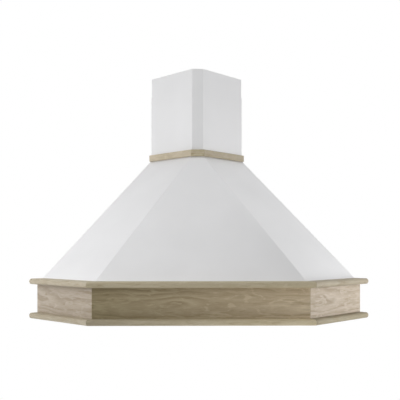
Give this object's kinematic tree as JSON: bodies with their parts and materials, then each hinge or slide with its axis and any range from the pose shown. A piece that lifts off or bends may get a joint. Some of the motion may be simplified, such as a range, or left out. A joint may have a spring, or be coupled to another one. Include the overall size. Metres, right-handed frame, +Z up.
{
  "type": "corner range hood",
  "caption": "Corner range hood: white steel canopy and telescopic chimney over an oak skirt, with blower, filters, lamps and push buttons underneath.",
  "frame": {"origin": "the room's corner line, level with the underside of the lower lip boards", "axes": "+Z up, +X to the right along the wide front, +Y back into the room corner; the front faces -Y"},
  "size_m": [1.4142, 0.9823, 1.118],
  "materials": {
    "white_paint": "white powder coat, semi-gloss",
    "oak": "raw pale oak, sanded, grain along each board",
    "galvanised_steel": "galvanised sheet, matt",
    "stainless_steel": "brushed stainless",
    "filter_aluminium": "bare aluminium",
    "handle_wire": "plated steel wire",
    "blower_plastic": "moulded, flame retardant",
    "wheel_plastic": "moulded",
    "motor_case": "die cast",
    "motor_iron": "laminated stack",
    "bearing_steel": "ground steel",
    "collar_plastic": "moulded black",
    "fascia_plastic": "gloss black",
    "button_plastic": "satin grey",
    "board_laminate": "green solder mask",
    "lamp_chrome": "chromed bezel",
    "lamp_glass": "frosted",
    "lead_sheath": "matt sheath",
    "screw_steel": "zinc plated"
  },
  "bodies": {
    "hood": {"canopy_shell": "white_paint", "lower_chimney": "white_paint", "lower_lip_left": "oak", "lower_lip_front": "oak", "lower_lip_right": "oak", "frieze_left": "oak", "frieze_front": "oak", "frieze_right": "oak", "upper_lip_left": "oak", "upper_lip_front": "oak", "upper_lip_right": "oak", "chimney_trim_left": "oak", "chimney_trim_front": "oak", "chimney_trim_right": "oak", "left_wall_rail": "galvanised_steel", "right_wall_rail": "galvanised_steel", "lower_chimney_bracket": "galvanised_steel", "upper_chimney_bracket": "galvanised_steel", "frieze_brackets": "galvanised_steel", "plenum_box": "galvanised_steel", "motor_mount": "galvanised_steel", "filter_hinge_brackets": "galvanised_steel", "base_panel": "stainless_steel", "filter_spring_clips": "stainless_steel", "flap_pin": "handle_wire", "blower_housing_left": "blower_plastic", "blower_housing_right": "blower_plastic", "motor_body": "motor_case", "capacitor": "motor_case", "stator": "motor_iron", "motor_bearings": "bearing_steel", "outlet_collar": "collar_plastic", "control_box": "collar_plastic", "mains_gland": "collar_plastic", "control_fascia": "fascia_plastic", "switch_board": "board_laminate", "lamp_housings": "lamp_chrome", "lamp_lenses": "lamp_glass", "motor_lead": "lead_sheath", "sheet_screws": "screw_steel", "wood_screws": "screw_steel"},
    "upper_sleeve": {"upper_chimney": "white_paint"},
    "wheel": {"impeller": "wheel_plastic", "motor_shaft": "handle_wire", "rotor": "motor_iron"},
    "front_damper": {"front_flap": "collar_plastic"},
    "rear_damper": {"rear_flap": "collar_plastic"},
    "left_filter": {"left_filter_frame": "filter_aluminium", "left_filter_mesh": "filter_aluminium"},
    "right_filter": {"right_filter_frame": "filter_aluminium", "right_filter_mesh": "filter_aluminium"},
    "left_bail": {"left_filter_handle": "handle_wire"},
    "right_bail": {"right_filter_handle": "handle_wire"},
    "off_button": {"button_off": "button_plastic"},
    "low_button": {"button_low": "button_plastic"},
    "medium_button": {"button_medium": "button_plastic"},
    "high_button": {"button_high": "button_plastic"},
    "light_button": {"button_light": "button_plastic"}
  },
  "joints": [
    {"name": "upper_sleeve_slide", "type": "slide", "parent": "hood", "child": "upper_sleeve", "axis": [0, 0, 1], "range_m": [-0.09, 0.165]},
    {"name": "wheel_spin", "type": "hinge", "parent": "hood", "child": "wheel", "pos_m": [0, -0.32458, 0.2427], "axis": [1, 0, 0], "continuous": true},
    {"name": "front_damper_swing", "type": "hinge", "parent": "hood", "child": "front_damper", "pos_m": [0, -0.22274, 0.4409], "axis": [-1, 0, 0], "range_deg": [0, 78]},
    {"name": "rear_damper_swing", "type": "hinge", "parent": "hood", "child": "rear_damper", "pos_m": [0, -0.22274, 0.4409], "axis": [1, 0, 0], "range_deg": [0, 78]},
    {"name": "left_filter_hinge", "type": "hinge", "parent": "hood", "child": "left_filter", "pos_m": [-0.135, -0.32496, 0.0505], "axis": [1, 0, 0], "range_deg": [0, 80]},
    {"name": "left_bail_swing", "type": "hinge", "parent": "left_filter", "child": "left_bail", "pos_m": [-0.135, -0.63346, 0.041], "axis": [1, 0, 0], "range_deg": [-80, 80]},
    {"name": "right_filter_hinge", "type": "hinge", "parent": "hood", "child": "right_filter", "pos_m": [0.135, -0.32496, 0.0505], "axis": [1, 0, 0], "range_deg": [0, 80]},
    {"name": "right_bail_swing", "type": "hinge", "parent": "right_filter", "child": "right_bail", "pos_m": [0.135, -0.63346, 0.041], "axis": [1, 0, 0], "range_deg": [-80, 80]},
    {"name": "off_press", "type": "slide", "parent": "hood", "child": "off_button", "axis": [0, 0, 1], "range_m": [0, 0.0025], "stiffness_N_per_m": 400, "springref_m": -0.001},
    {"name": "low_press", "type": "slide", "parent": "hood", "child": "low_button", "axis": [0, 0, 1], "range_m": [0, 0.0025], "stiffness_N_per_m": 400, "springref_m": -0.001},
    {"name": "medium_press", "type": "slide", "parent": "hood", "child": "medium_button", "axis": [0, 0, 1], "range_m": [0, 0.0025], "stiffness_N_per_m": 400, "springref_m": -0.001},
    {"name": "high_press", "type": "slide", "parent": "hood", "child": "high_button", "axis": [0, 0, 1], "range_m": [0, 0.0025], "stiffness_N_per_m": 400, "springref_m": -0.001},
    {"name": "light_press", "type": "slide", "parent": "hood", "child": "light_button", "axis": [0, 0, 1], "range_m": [0, 0.0025], "stiffness_N_per_m": 400, "springref_m": -0.001}
  ]
}
